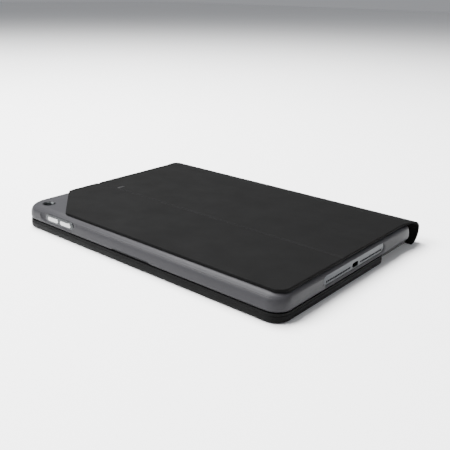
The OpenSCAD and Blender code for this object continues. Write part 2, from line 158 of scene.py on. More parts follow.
def rounded_slab(bm, outline, to_ring, low, high, r, material=0, steps=4):
    """A slab between low and high with rounded edges; outline(inset) gives its section."""
    levels = [(low + r * (1 - math.cos(a)), r * (1 - math.sin(a)))
              for a in np.linspace(0, math.pi / 2, steps + 1)]
    levels += [(high - z + low, inset) for z, inset in reversed(levels)]
    rings = [to_ring(outline(inset), level) for level, inset in levels]
    return loft(bm, rings, material)


# ---------------------------------------------------------------- pieces

def make_object(name, bm, smooth_angle=32):
    bmesh.ops.recalc_face_normals(bm, faces=bm.faces)
    mesh = bpy.data.meshes.new(name)
    bm.to_mesh(mesh)
    bm.free()
    smooth(mesh, smooth_angle)
    obj = bpy.data.objects.new(name, mesh)
    bpy.context.scene.collection.objects.link(obj)
    return obj


def smooth(mesh, angle):
    mesh.polygons.foreach_set("use_smooth", [True] * len(mesh.polygons))
    mesh.set_sharp_from_angle(angle=math.radians(angle))


def dress(obj, slot, *materials):
    """Gives a piece its materials; the slot argument is not used."""
    obj.data.materials.clear()
    for material in materials:
        obj.data.materials.append(material)


def carve(obj, cutters, smooth_angle=32):
    """Cuts the cutters' shapes out of a piece and applies the result."""
    for cutter in cutters:
        cut = obj.modifiers.new("cut", "BOOLEAN")
        cut.operation, cut.solver, cut.object = "DIFFERENCE", "EXACT", cutter
    bpy.context.view_layer.update()
    carved = obj.evaluated_get(bpy.context.evaluated_depsgraph_get())
    obj.data = bpy.data.meshes.new_from_object(carved)
    obj.modifiers.clear()
    for cutter in cutters:
        bpy.data.objects.remove(cutter)
    smooth(obj.data, smooth_angle)


def cutter(rings, material=0):
    bm = bmesh.new()
    loft(bm, rings, material)
    return make_object("cutter", bm)


# ---------------------------------------------------------------- materials

class Shader:
    """Builds one Principled material from procedural textures in the row frame's metres."""

    def __init__(self, name, roughness, metallic=0.0, **sockets):
        self.material = bpy.data.materials.new(name)
        self.material.use_nodes = True
        self.nodes = self.material.node_tree.nodes
        self.links = self.material.node_tree.links
        self.bsdf = self.nodes["Principled BSDF"]
        self.bsdf.inputs["Metallic"].default_value = metallic
        self.bsdf.inputs["Roughness"].default_value = roughness
        for socket, value in sockets.items():
            self.bsdf.inputs[socket.replace("_", " ")].default_value = value
        self.where = self.add("ShaderNodeTexCoord").outputs["Object"]
        self.height = None

    def add(self, kind, settings=None, **inputs):
        node = self.nodes.new(kind)
        for key, value in (settings or {}).items():
            setattr(node, key, value)
        for key, value in inputs.items():
            self.put(node.inputs[key.replace("_", " ")], value)
        return node

    def put(self, socket, value):
        if isinstance(value, bpy.types.NodeSocket):
            self.links.new(value, socket)
        else:
            socket.default_value = value

    def stretched(self, scale):
        return self.add("ShaderNodeMapping", Vector=self.where, Scale=scale).outputs["Vector"]

    def noise(self, size, detail=2.0, where=None):
        """Noise whose features are about size metres across."""
        return self.add("ShaderNodeTexNoise", Vector=where or self.where, Scale=1 / size,
                        Detail=detail).outputs["Fac"]

    def cells(self, size, feature="F1"):
        return self.add("ShaderNodeTexVoronoi", {"feature": feature}, Vector=self.where,
                        Scale=1 / size).outputs["Distance"]

    def ridges(self, size, direction):
        return self.add("ShaderNodeTexWave", {"bands_direction": direction}, Vector=self.where,
                        Scale=1 / size / 20, Distortion=0.0).outputs["Fac"]

    def span(self, value, low, high, to_low, to_high):
        node = self.add("ShaderNodeMapRange", Value=value)
        for key, number in zip(("From Min", "From Max", "To Min", "To Max"),
                               (low, high, to_low, to_high)):
            node.inputs[key].default_value = number
        return node.outputs["Result"]

    def maths(self, operation, a, b):
        node = self.add("ShaderNodeMath", {"operation": operation})
        self.put(node.inputs[0], a)
        self.put(node.inputs[1], b)
        return node.outputs["Value"]

    def blend(self, fac, a, b):
        node = self.add("ShaderNodeMix", {"data_type": "RGBA"})
        self.put(node.inputs["Factor"], fac)
        self.put(node.inputs[6], a)
        self.put(node.inputs[7], b)
        return node.outputs[2]

    def colour(self, value):
        self.put(self.bsdf.inputs["Base Color"], value)

    def rough(self, value):
        self.put(self.bsdf.inputs["Roughness"], value)

    def edges(self, radius):
        """1 along edges sharper than the radius, 0 on open surfaces."""
        rounded = self.add("ShaderNodeBevel", {"samples": 4}, Radius=radius).outputs["Normal"]
        plain = self.add("ShaderNodeNewGeometry").outputs["Normal"]
        dot = self.add("ShaderNodeVectorMath", {"operation": "DOT_PRODUCT"})
        self.put(dot.inputs[0], rounded)
        self.put(dot.inputs[1], plain)
        return self.span(dot.outputs["Value"], 0.98, 0.8, 0.0, 1.0)

    def bump(self, height, depth, strength=1.0, edge_radius=None):
        node = self.add("ShaderNodeBump", Height=height, Distance=depth, Strength=strength)
        if edge_radius:
            rounded = self.add("ShaderNodeBevel", {"samples": 4}, Radius=edge_radius)
            self.put(node.inputs["Normal"], rounded.outputs["Normal"])
        self.put(self.bsdf.inputs["Normal"], node.outputs["Normal"])


def grey(level, tint=(1.0, 1.0, 1.0)):
    return (level * tint[0], level * tint[1], level * tint[2], 1.0)


def shaded(colour, factor):
    return (colour[0] * factor, colour[1] * factor, colour[2] * factor, 1.0)


def grained_skin(name, colour, roughness, grain=0.45 * MM, depth=0.035 * MM, worn=1.7):
    """Polyurethane skin: pebbled grain, handled patches and slightly polished edges."""
    s = Shader(name, roughness, Specular_IOR_Level=0.05)
    patches = s.noise(22 * MM, 3.0)
    fine = s.noise(0.9 * MM)
    pores = s.span(s.cells(grain), 0.0, 0.75, 1.0, 0.0)
    tone = s.blend(patches, shaded(colour, 0.88), shaded(colour, 1.12))
    tone = s.blend(s.maths("MULTIPLY", pores, 0.22), tone, shaded(colour, 0.55))
    wear = s.maths("MULTIPLY", s.edges(0.5 * MM), s.span(s.noise(6 * MM, 4.0), 0.42, 0.68, 0.0, 0.75))
    s.colour(s.blend(wear, tone, shaded(colour, worn)))
    handled = s.span(patches, 0.3, 0.7, roughness - 0.06, roughness + 0.06)
    s.rough(s.maths("SUBTRACT", s.maths("ADD", handled, s.maths("MULTIPLY", fine, 0.06)),
                    s.maths("MULTIPLY", wear, 0.12)))
    s.bump(s.maths("ADD", pores, s.maths("MULTIPLY", fine, 0.6)), depth)
    return s.material


def moulded(name, colour, roughness, texture=0.30 * MM, depth=0.012 * MM, worn=1.35, edge=0.25 * MM,
            specular=0.08):
    """Spark-eroded moulded plastic with softened, slightly rubbed edges."""
    s = Shader(name, roughness, Specular_IOR_Level=specular)
    patches = s.noise(30 * MM, 2.0)
    fine = s.noise(texture, 3.0)
    tone = s.blend(patches, shaded(colour, 0.95), shaded(colour, 1.05))
    speck = s.span(fine, 0.35, 0.65, 0.0, 0.12)
    tone = s.blend(speck, tone, shaded(colour, 1.5))
    wear = s.maths("MULTIPLY", s.edges(edge), s.span(s.noise(4 * MM, 4.0), 0.4, 0.7, 0.1, 0.8))
    s.colour(s.blend(wear, tone, shaded(colour, worn)))
    s.rough(s.span(patches, 0.3, 0.7, roughness - 0.05, roughness + 0.05))
    s.bump(fine, depth, edge_radius=edge)
    return s.material


def metal(name, colour, roughness, brushed=(1.0, 1.0, 1.0), depth=0.004 * MM, edge=0.15 * MM):
    """Anodised or plated metal, brushed along its shortest texture scale."""
    s = Shader(name, roughness, metallic=1.0)
    lines = s.noise(0.25 * MM, 2.0, s.stretched(brushed))
    patches = s.noise(9 * MM, 2.0)
    s.colour(s.blend(patches, shaded(colour, 0.92), shaded(colour, 1.06)))
    s.rough(s.span(lines, 0.3, 0.7, roughness - 0.06, roughness + 0.08))
    s.bump(lines, depth, edge_radius=edge)
    return s.material


def woven(name, colour, roughness, pitch=0.5 * MM, depth=0.05 * MM):
    """Short-napped cloth: crossed threads under a fine fuzz."""
    s = Shader(name, roughness, Specular_IOR_Level=0.2, Sheen_Weight=0.25, Sheen_Roughness=0.6)
    threads = s.maths("MULTIPLY", s.ridges(pitch, "X"), s.ridges(pitch, "Y"))
    fuzz = s.noise(0.35 * MM, 3.0)
    mix = s.maths("ADD", s.maths("MULTIPLY", threads, 0.6), s.maths("MULTIPLY", fuzz, 0.5))
    tone = s.blend(mix, shaded(colour, 0.6), shaded(colour, 1.35))
    s.colour(s.blend(s.noise(18 * MM), tone, shaded(colour, 0.9)))
    s.bump(mix, depth)
    return s.material


COVER = grey(0.0028)
SKIN = grey(0.0025)
GRAPHITE = grey(0.021, (1.0, 0.985, 1.08))

looks = {
    "cover_skin": grained_skin("cover_skin", COVER, 0.75, depth=0.02 * MM),
    "cover_edge": grained_skin("cover_edge", grey(0.006), 0.42, depth=0.01 * MM, worn=2.5),
    "spine_skin": grained_skin("spine_skin", grey(0.008), 0.62, depth=0.02 * MM),
    "spine_inside": woven("spine_inside", grey(0.09, (1.0, 1.0, 0.95)), 0.85),
    "soft_skin": grained_skin("soft_skin", SKIN, 0.48),
    "tray_plastic": moulded("tray_plastic", GRAPHITE, 0.42),
    "pocket_plastic": moulded("pocket_plastic", grey(0.025), 0.5),
    "deck_plastic": moulded("deck_plastic", grey(0.003), 0.65, specular=0.05),
    "black_plastic": moulded("black_plastic", grey(0.02), 0.5),
    "key_plastic": moulded("key_plastic", grey(0.008), 0.48, worn=1.8),
    "switch_plastic": moulded("switch_plastic", grey(0.18), 0.45),
    "badge_plastic": moulded("badge_plastic", grey(0.012), 0.3),
    "badge_rim": metal("badge_rim", grey(0.16), 0.4),
    "white_plastic": moulded("white_plastic", grey(0.7), 0.4),
    "board": moulded("board", grey(0.12), 0.8),
    "membrane": moulded("membrane", (0.5, 0.42, 0.25, 1.0), 0.35, texture=1.0 * MM),
    "dome_rubber": moulded("dome_rubber", grey(0.6), 0.55),
    "dock_rubber": grained_skin("dock_rubber", grey(0.014), 0.7, grain=0.3 * MM),
    "circuit_board": moulded("circuit_board", (0.02, 0.12, 0.04, 1.0), 0.35, texture=0.8 * MM),
    "light_pipe": moulded("light_pipe", (0.6, 0.75, 0.62, 1.0), 0.15),
    "lining": woven("lining", grey(0.03), 0.9),
    "ring_metal": metal("ring_metal", grey(0.035, (0.93, 0.99, 1.03)), 0.36),
    "bright_metal": metal("bright_metal", grey(0.33), 0.25, brushed=(0.1, 1.0, 1.0)),
    "grille_metal": metal("grille_metal", grey(0.028, (0.90, 0.98, 1.10)), 0.38, brushed=(1, 0.08, 1)),
    # tray plastic darkened as painted shade for the faces of the slot, the key scoop and the finger notch
    "scoop_plastic": moulded("scoop_plastic", grey(0.009, (1.0, 0.985, 1.08)), 0.6),
    # near-black painted shade for the walls and floors of the port and the small holes
    "hole_dark": moulded("hole_dark", grey(0.003), 0.7),
    "steel": metal("steel", grey(0.5), 0.3, brushed=(0.1, 1.0, 1.0)),
    "magnet": metal("magnet", grey(0.55), 0.2),
    "foil": metal("foil", grey(0.6), 0.35, brushed=(0.4, 1.0, 1.0)),
}

for row in frame["record"]["subparts"]:
    node = frame["nodes"][row["node"]]
    node.data.materials.clear()
    node.data.materials.append(looks[row["material_slot"]])


# ---------------------------------------------------------------- tray

# Outer side of the tray, mm: height over its lowest edge, inset at the long sides, inset at the ends
TRAY_SIDE = [(0.0, 0.9, 0.7), (0.6, 0.4, 0.3), (1.7, 0.05, 0.05), (2.9, 0.0, 0.0), (5.1, 0.1, 0.05),
             (7.1, 0.5, 0.3), (8.5, 1.2, 0.6), (9.6, 2.3, 1.1), (10.4, 3.7, 1.8), (11.0, 5.4, 2.8)]
CORNER_R = 11 * MM
POCKET_R = 9.5 * MM
LIP = 0.8 * MM
LIP_T = 0.8 * MM


def flowing(points, steps):
    """A smooth run of points through the given ones (Catmull-Rom)."""
    p = np.array(points)
    p = np.vstack([2 * p[0] - p[1], p, 2 * p[-1] - p[-2]])
    run = []
    for k in range(1, len(p) - 2):
        for t in np.linspace(0, 1, steps, endpoint=False):
            a, b, c, d = p[k - 1:k + 3]
            run.append(0.5 * (2 * b + (c - a) * t + (2 * a - 5 * b + 4 * c - d) * t ** 2
                              + (3 * b - a - 3 * c + d) * t ** 3))
    return run + [p[-2]]


def tray_outline(inset_y, inset_x):
    return rect(tray_lo.x + inset_x, tray_hi.x - inset_x, tray_lo.y + inset_y, tray_hi.y - inset_y,
                CORNER_R, CORNER_R, 14)


def pocket_outline(inset):
    return rect(lining_lo.x - 0.2 * MM + inset, lining_hi.x + 0.2 * MM - inset,
                lining_lo.y - 0.2 * MM + inset, lining_hi.y + 0.2 * MM - inset,
                POCKET_R - inset, POCKET_R - inset, 12)


wall_z = (bezel_lo.z + bezel_hi.z) / 2
volume_x = (bezel_lo.x + bezel_hi.x) / 2
slot_y = (grille_lo.y + grille_hi.y) / 2
ring_mid = (ring_lo + ring_hi) / 2
pocket_floor = tray_lo.z + LIP_T

bm = bmesh.new()
loft(bm, [at_z(tray_outline(y * MM, x * MM), tray_lo.z + z * MM) for z, y, x in flowing(TRAY_SIDE, 3)])
tray = make_object("tray_body", bm)

pocket = cutter([
    at_z(pocket_outline(LIP - 0.35 * MM), tray_lo.z - 0.4 * MM),
    at_z(pocket_outline(LIP - 0.1 * MM), tray_lo.z),
    at_z(pocket_outline(LIP), tray_lo.z + 0.3 * MM),
    at_z(pocket_outline(LIP), pocket_floor - 0.1 * MM),
    at_z(pocket_outline(LIP - 0.1 * MM), pocket_floor),
    at_z(pocket_outline(0), pocket_floor),
    at_z(pocket_outline(0), lining_hi.z)], material=1)

slot_length = grille_hi.y - grille_lo.y
slot_height = grille_hi.z - grille_lo.z
# material 2 on the flared walls of the slot is painted shade
slot_cut = cutter([
    at_x(stadium(slot_y, wall_z, slot_length, slot_height), grille_lo.x - 0.5 * MM),
    at_x(stadium(slot_y, wall_z, slot_length, slot_height), tray_hi.x - 0.9 * MM),
    at_x(stadium(slot_y, wall_z - 0.15 * MM, slot_length + 0.8 * MM, slot_height + 0.7 * MM),
         tray_hi.x - 0.65 * MM),
    at_x(stadium(slot_y, wall_z - 0.45 * MM, slot_length + 3.0 * MM, slot_height + 1.9 * MM),
         tray_hi.x - 0.35 * MM),
    at_x(stadium(slot_y, wall_z - 0.65 * MM, slot_length + 5.4 * MM, slot_height + 2.9 * MM),
         tray_hi.x + 0.02 * MM),
    at_x(stadium(slot_y, wall_z - 0.65 * MM, slot_length + 7.0 * MM, slot_height + 3.4 * MM),
         tray_hi.x + 0.6 * MM)], material=2)

volume_length = bezel_hi.x - bezel_lo.x
volume_height = bezel_hi.z - bezel_lo.z
volume_cut = cutter([
    at_y(stadium(volume_x, wall_z, volume_length, volume_height), tray_lo.y - 1 * MM),
    at_y(stadium(volume_x, wall_z, volume_length, volume_height), bezel_hi.y + 0.5 * MM)])
# A scoop round the volume keys that reaches beyond them towards the camera corner;
# its section, mm: depth, how much shorter, height
SCOOP = [(-0.4, 0.0, 14.0), (0.0, 0.5, 13.0), (0.3, 1.3, 12.0), (0.7, 2.4, 11.0), (1.0, 3.8, 9.5),
         (1.15, 5.6, 7.6)]
SCOOP_SPAN = (volume_x - 24.5 * MM, volume_x + 19 * MM)
# material 2 on the faces of the scoop is painted shade
volume_scoop = cutter([
    at_y(stadium((SCOOP_SPAN[0] + SCOOP_SPAN[1]) / 2, wall_z + 2.6 * MM,
                 SCOOP_SPAN[1] - SCOOP_SPAN[0] - shrink * MM, height * MM), tray_lo.y + depth * MM)
    for depth, shrink, height in SCOOP], material=2)

camera_hole = cutter([
    at_z(circle(ring_mid.x, ring_mid.y, 4.85 * MM + flare * MM), tray_hi.z + z * MM)
    for z, flare in [(-3.2, 0), (-0.7, 0), (-0.3, 0.12), (0.0, 0.5), (0.3, 1.0)]])

sleep_mid = (sleep_lo + sleep_hi) / 2
sleep_length = sleep_hi.y - sleep_lo.y + 0.4 * MM
sleep_height = sleep_hi.z - sleep_lo.z + 0.4 * MM
sleep_cut = cutter([
    at_x(stadium(sleep_mid.y, sleep_mid.z, sleep_length + flare * MM, sleep_height + flare * MM),
         tray_lo.x + depth * MM)
    for depth, flare in [(-0.4, 3.0), (0.0, 2.2), (0.25, 0.8), (0.4, 0.0), (2.6, 0.0)]])
JACK_R = 1.95 * MM
JACK_FROM_SPINE = 16.4 * MM
jack_cut = cutter([
    at_x(circle(tray_hi.y - JACK_FROM_SPINE, wall_z, JACK_R + flare * MM, 32), tray_lo.x + depth * MM)
    for depth, flare in [(-0.4, 1.2), (0.0, 0.8), (0.3, 0.15), (0.45, 0.0), (2.6, 0.0)]])

# Finger scoop in the lower edge of the free side
NOTCH = (-22 * MM, 19 * MM)
# material 2 on the faces of the notch is painted shade
notch_cut = cutter([
    at_y([(NOTCH[0] - 1.5 * MM, tray_lo.z - 1 * MM), (NOTCH[1] + 1.5 * MM, tray_lo.z - 1 * MM),
          (NOTCH[1] - 3 * MM, tray_lo.z + 1.8 * MM), (NOTCH[0] + 3 * MM, tray_lo.z + 1.8 * MM)],
         tray_lo.y + y * MM) for y in (-1.0, 1.4)], material=2)
plate_cuts = []
for x in (-88 * MM, 88 * MM):
    y = (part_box("latch_plates")[0].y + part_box("latch_plates")[1].y) / 2
    plate_cuts.append(cutter([at_z(circle(x, y, 5.1 * MM), tray_hi.z + z * MM) for z in (-0.6, 1.0)]))
carve(tray, [pocket, slot_cut, volume_scoop, volume_cut, camera_hole, sleep_cut, jack_cut, notch_cut]
      + plate_cuts)
# third material: tray plastic darkened as painted shade in the recesses
dress(tray, "tray_plastic", looks["tray_plastic"], looks["pocket_plastic"], looks["scoop_plastic"])
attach(tray, "tray")
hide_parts("tray_frame", "tray_back")

# Camera ring: a thin rounded hoop that slopes down to the hole
bm = bmesh.new()
RING_PROFILE = [(4.74, 0.0), (4.74, 1.9), (4.65, 2.12), (4.48, 2.2), (4.3, 2.1), (4.05, 1.7), (3.7, 1.0),
                (3.42, 0.6), (3.42, 0.0)]
revolve(bm, ring_mid.x, ring_mid.y, [(r * MM, ring_lo.z + z * MM) for r, z in RING_PROFILE])
ring = make_object("camera_hoop", bm, 40)
dress(ring, "ring_metal", looks["ring_metal"])
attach(ring, "tray")
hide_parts("camera_ring")


def capsule_piece(name, node, body, slot, to_ring, along, across, depth_axis, r):
    """A rounded capsule plate that fills a CAD node's box."""
    lo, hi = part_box(node)
    mid = (lo + hi) / 2
    length = (hi - lo)[along]
    height = (hi - lo)[across]
    bm = bmesh.new()
    rounded_slab(bm, lambda inset: stadium(mid[along], mid[across], length - 2 * inset,
                                           height - 2 * inset),
                 to_ring, lo[depth_axis], hi[depth_axis], r)
    obj = make_object(name, bm, 40)
    dress(obj, slot, looks[slot])
    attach(obj, body)
    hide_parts(node)
    return obj


bezel = capsule_piece("volume_frame", "volume_bezel", "tray", "ring_metal", at_y, 0, 2, 1, 0.18 * MM)
key_cuts = []
for node in ("volume_up_key", "volume_down_key"):
    lo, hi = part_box(node)
    mid = (lo + hi) / 2
    outline = stadium(mid.x, mid.z, hi.x - lo.x + 0.4 * MM, hi.z - lo.z + 0.4 * MM)
    key_cuts.append(cutter([at_y(outline, lo.y - 1 * MM), at_y(outline, bezel_hi.y + 1 * MM)]))
carve(bezel, key_cuts, 40)
capsule_piece("volume_up_cap", "volume_up_key", "volume_up_key", "bright_metal", at_y, 0, 2, 1, 0.25 * MM)
capsule_piece("volume_down_cap", "volume_down_key", "volume_down_key", "bright_metal", at_y, 0, 2, 1,
              0.25 * MM)
capsule_piece("sleep_cap", "sleep_key", "sleep_key", "ring_metal", at_x, 1, 2, 0, 0.25 * MM)

# End strip: a plate with a port in the middle and a row of small holes on each side of it
grille = capsule_piece("end_strip", "end_grille", "tray", "grille_metal", at_x, 1, 2, 0, 0.15 * MM)
PORT = (7.4 * MM, 3.0 * MM, 0.9 * MM)
HOLES = 15
HOLE_R, HOLE_PITCH, HOLE_START, HOLE_DROP = 0.85 * MM, 2.0 * MM, 7.4 * MM, 1.2 * MM
# material 1 paints the walls of the port near black: painted shade
port_cut = cutter([
    at_x(stadium(slot_y, wall_z - PORT[2], PORT[0] + flare * MM, PORT[1] + flare * MM),
         grille_hi.x + depth * MM) for depth, flare in [(-1.5, 0), (-0.25, 0), (0.0, 0.5), (0.3, 1.1)]],
    material=1)
# material 1 paints the walls and floors of the blind holes near black: painted shade
hole_cuts = [
    cutter([at_x(circle(slot_y + side * (HOLE_START + k * HOLE_PITCH), wall_z - HOLE_DROP, HOLE_R, 16), x)
            for x in (grille_lo.x + 0.12 * MM, grille_hi.x + 1 * MM)], material=1)
    for side in (-1, 1) for k in range(HOLES)]
carve(grille, [port_cut] + hole_cuts, 40)
# second material: near-black painted shade inside the port and holes
dress(grille, "grille_metal", looks["grille_metal"], looks["hole_dark"])


# ---------------------------------------------------------------- cover

COVER_R = 8 * MM
CUT_R = 9 * MM
EDGE_R = 0.75 * MM
SEAM_Y = 64 * MM
cut_corner = Vector((upper_lo.x, tray_lo.y + 41 * MM))
cut_front = Vector((tray_lo.x + 45 * MM, upper_lo.y))


def corner_arc(before, corner, after, r, steps=10):
    """An arc of radius r that rounds the corner between two straight runs."""
    a = (before - corner).normalized()
    b = (after - corner).normalized()
    half = a.angle(b) / 2
    reach = r / math.tan(half)
    centre = corner + (a + b).normalized() * (r / math.sin(half))
    start, end = corner + a * reach, corner + b * reach
    u, v = start - centre, end - centre
    turn = u.angle(v)
    return [centre + (u * math.sin((1 - t) * turn) + v * math.sin(t * turn)) / math.sin(turn)
            for t in np.linspace(0, 1, steps + 1)]


left_rear = Vector((upper_lo.x, SEAM_Y))
front_right = Vector((upper_hi.x, upper_lo.y))
right_rear = Vector((upper_hi.x, SEAM_Y))
left_chain = ([left_rear] + corner_arc(left_rear, cut_corner, cut_front, 5 * MM)
              + corner_arc(cut_corner, cut_front, front_right, CUT_R))
right_chain = corner_arc(cut_front, front_right, right_rear, COVER_R) + [right_rear]
cover_line = np.array([tuple(p) for p in left_chain + right_chain])
left_xy = np.array([tuple(p) for p in reversed(left_chain)])
right_xy = np.array([tuple(p) for p in right_chain])


def edge_distance(x, y):
    """Distance from a point of the cover to its outline."""
    a, b = cover_line[:-1], cover_line[1:]
    d = b - a
    t = np.clip(((np.array([x, y]) - a) * d).sum(1) / (d * d).sum(1), 0, 1)
    return float(np.sqrt(((a + d * t[:, None] - [x, y]) ** 2).sum(1)).min())


def rounding(distance, r):
    """How far a rounded edge of radius r has dropped at that distance from the edge."""
    return r - math.sqrt(r * r - (r - distance) ** 2) if distance < r else 0.0


def ease(t):
    t = min(max(t, 0.0), 1.0)
    return t * t * (3 - 2 * t)


def crease(y):
    """Depth of the pressed fold line."""
    return 0.6 * MM * math.exp(-(((y - fold[0]) / (1.0 * MM)) ** 2))


def cover_under(y):
    """Underside of the cover: on the tray in front of the fold, over the leg's lining behind it."""
    gap = abs(y - fold[0])
    rest = upper_lo.z + 0.02 * MM if y < fold[0] else leg_lining_hi.z
    return rest + (cover_top - 0.95 * MM - rest) * (1 - ease(gap / (1.3 * MM)))


cover_top = upper_hi.z


def cover_rows():
    start = upper_lo.y
    near = [0, 0.06, 0.16, 0.32, 0.52, 0.75, 1.1, 1.6, 2.2, 2.9, 3.8, 4.9, 6.2, 8, 10.5]
    rows = [start + d * MM for d in near]
    rows += list(np.linspace(start + 14 * MM, fold[0] - 5 * MM, 12))
    rows += [fold[0] + d * MM for d in (-3.4, -2.3, -1.6, -1.15, -0.85, -0.6, -0.4, -0.2, 0, 0.2, 0.4,
                                        0.6, 0.85, 1.15, 1.6, 2.3, 3.4)]
    return rows + list(np.linspace(fold[0] + 5 * MM, SEAM_Y, 18))


EDGE_STEPS = [d * MM for d in (0, 0.05, 0.15, 0.3, 0.5, 0.75, 1.2, 2.2, 4.5, 9)]


def cover_columns(x0, x1):
    inner = np.linspace(x0 + EDGE_STEPS[-1], x1 - EDGE_STEPS[-1], 30)[1:-1]
    return [x0 + d for d in EDGE_STEPS] + list(inner) + [x1 - d for d in reversed(EDGE_STEPS)]


def solid_grid(top, bottom, edge_material=0, under_material=0):
    """A closed mesh between two grids of points, rows by columns."""
    bm = bmesh.new()
    grids = [[[bm.verts.new(p) for p in row] for row in grid] for grid in (top, bottom)]
    last_row, last_col = len(top) - 1, len(top[0]) - 1
    for index, grid in enumerate(grids):
        for r in range(last_row):
            for c in range(last_col):
                face = bm.faces.new((grid[r][c], grid[r][c + 1], grid[r + 1][c + 1], grid[r + 1][c]))
                face.material_index = under_material if index else 0
    rim = ([(0, c) for c in range(last_col)] + [(r, last_col) for r in range(last_row)]
           + [(last_row, c) for c in range(last_col, 0, -1)] + [(r, 0) for r in range(last_row, 0, -1)])
    for (r0, c0), (r1, c1) in zip(rim, rim[1:] + rim[:1]):
        face = bm.faces.new((grids[0][r0][c0], grids[0][r1][c1], grids[1][r1][c1], grids[1][r0][c0]))
        face.material_index = edge_material
    return bm


top, bottom = [], []
for y in cover_rows():
    xs = cover_columns(float(np.interp(y, left_xy[:, 1], left_xy[:, 0])),
                       float(np.interp(y, right_xy[:, 1], right_xy[:, 0])))
    top.append([(x, y, cover_top - rounding(edge_distance(x, y), EDGE_R) - crease(y)) for x in xs])
    bottom.append([(x, y, cover_under(y)) for x in xs])
cover = make_object("cover_panels", solid_grid(top, bottom, edge_material=1), 40)
dress(cover, "cover_skin", looks["cover_skin"], looks["cover_edge"])
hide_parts("upper_skin", "upper_board", "leg_skin")
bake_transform(cover)


# ---------------------------------------------------------------- spine

def bezier(a, b, c, d, steps):
    return [a * (1 - t) ** 3 + b * 3 * (1 - t) ** 2 * t + c * 3 * (1 - t) * t * t + d * t ** 3
            for t in (k / steps for k in range(steps + 1))]


def yz(y, z):
    return Vector((y, z))


SPINE_T = 1.1 * MM
LINING_END = 72 * MM
# The spine rolls from the cover's seam out to its rearmost line, then tucks in under the case
SEAM = yz(SEAM_Y, cover_top)
APEX = yz(92.9 * MM, 9.8 * MM)
roll = bezier(SEAM, yz(86.5 * MM, cover_top), yz(APEX[0], 16.4 * MM), APEX, 60)
tuck = bezier(APEX, yz(APEX[0], 4.0 * MM), yz(88 * MM, 0.2 * MM), yz(82.5 * MM, 0.2 * MM), 40)
outer_line = roll + tuck[1:]


def spine_rows(first, last):
    """Rows of the spine from one point number of its outer line to another."""
    rows = []
    for k in range(first, last + 1):
        before, after = outer_line[max(k - 1, 0)], outer_line[min(k + 1, len(outer_line) - 1)]
        along = (after - before).normalized()
        normal = yz(-along[1], along[0])
        point = outer_line[k]
        thickness = SPINE_T
        flat = ease((k - 12) / 12)
        if flat < 1:
            thickness = (1 - flat) * (point[1] - leg_lining_hi.z) / normal[1] + flat * SPINE_T
        round_out = (1 - flat) * EDGE_R + flat * SPINE_T / 2
        rows.append((point, normal, thickness, round_out, flat * SPINE_T / 2))
    return rows


def half_width(point):
    """The spine spreads a little past the cover panels as it rolls over the edge."""
    return upper_hi.x + 2.2 * MM * ease((point[0] - SEAM[0]) / (14 * MM) if point[1] > APEX[1] else 1.0)


def strip(name, rows, width):
    """A strip of fabric along X; each row gives outer point, normal, thickness and edge rounding."""
    outer, inner = [], []
    for point, normal, thickness, round_out, round_in in rows:
        half = width(point)
        outside, inside = [], []
        for x in cover_columns(-half, half):
            inset = half - abs(x)
            a = point - normal * rounding(inset, round_out)
            b = point - normal * (thickness - rounding(inset, round_in))
            outside.append((x, a[0], a[1]))
            inside.append((x, b[0], b[1]))
        outer.append(outside)
        inner.append(inside)
    return make_object(name, solid_grid(outer, inner, under_material=1), 40)


def nearest(point):
    return min(range(len(outer_line)), key=lambda k: (outer_line[k] - point).length)


upper_mid = nearest((spine_top + spine_bend_top) / 2)
middle_mid = nearest((spine_bend_top + spine_bend_low) / 2)
low_pivot = yz(spine_top[0], spine_bend_low[1] - (spine_top[1] - spine_bend_top[1]))
lower_mid = nearest((spine_bend_low + low_pivot) / 2)

ends = [("spine_roll", 0, upper_mid, "leg", "spine_upper", spine_top),
        ("spine_back_top", upper_mid, middle_mid, "spine_upper", "spine_middle", spine_bend_top),
        ("spine_back_low", middle_mid, lower_mid, "spine_middle", "spine_lower", spine_bend_low)]
for name, first, last, body_a, body_b, hinge in ends:
    obj = strip(name, spine_rows(first, last), half_width)
    dress(obj, "spine_skin", looks["cover_skin" if first == 0 else "spine_skin"], looks["spine_inside"])
    a = outer_line[nearest(hinge)]
    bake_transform(obj)
    if body_b == "spine_upper":
        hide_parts("leg_board", "spine_upper")
    else:
        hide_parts(body_b)
spine_end = strip("spine_foot", spine_rows(lower_mid, len(outer_line) - 1), half_width)
dress(spine_end, "spine_skin", looks["spine_skin"], looks["spine_inside"])
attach(spine_end, "spine_lower")

# Lining under the leg panel
LINING_INSET = 0.9 * MM
lining_top, lining_low = [], []
for y in np.linspace(leg_lining_lo.y, LINING_END, 24):
    xs = cover_columns(leg_lining_lo.x + LINING_INSET, leg_lining_hi.x - LINING_INSET)
    lining_top.append([(x, y, leg_lining_hi.z) for x in xs])
    lining_low.append([(x, y, leg_lining_lo.z + rounding(min(x - xs[0], xs[-1] - x), 0.2 * MM)) for x in xs])
leg_lining = make_object("leg_lining_cloth", solid_grid(lining_top, lining_low))
dress(leg_lining, "lining", looks["lining"])
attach(leg_lining, "leg")
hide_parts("leg_lining")

# Badge: a blank dark plate in a thin rim
bm = bmesh.new()
BADGE_T = 0.12 * MM
for grow, height, material in ((0.25 * MM, BADGE_T * 0.6, 1), (-0.25 * MM, BADGE_T, 0)):
    lo, hi = badge_lo.xy, badge_hi.xy
    outlines = [rect(lo.x - grow + d, hi.x + grow - d, lo.y - grow + d, hi.y + grow - d, 0.9 * MM,
                     0.9 * MM, 6) for d in (0, 0, 0.06 * MM)]
    loft(bm, [at_z(outline, badge_lo.z + z) for outline, z in
              zip(outlines, (-0.3 * MM, height - 0.05 * MM, height))], material)
badge = make_object("blank_badge", bm)
dress(badge, "badge_plastic", looks["badge_plastic"], looks["badge_rim"])
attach(badge, "leg")
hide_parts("badge")


# ---------------------------------------------------------------- keyboard base

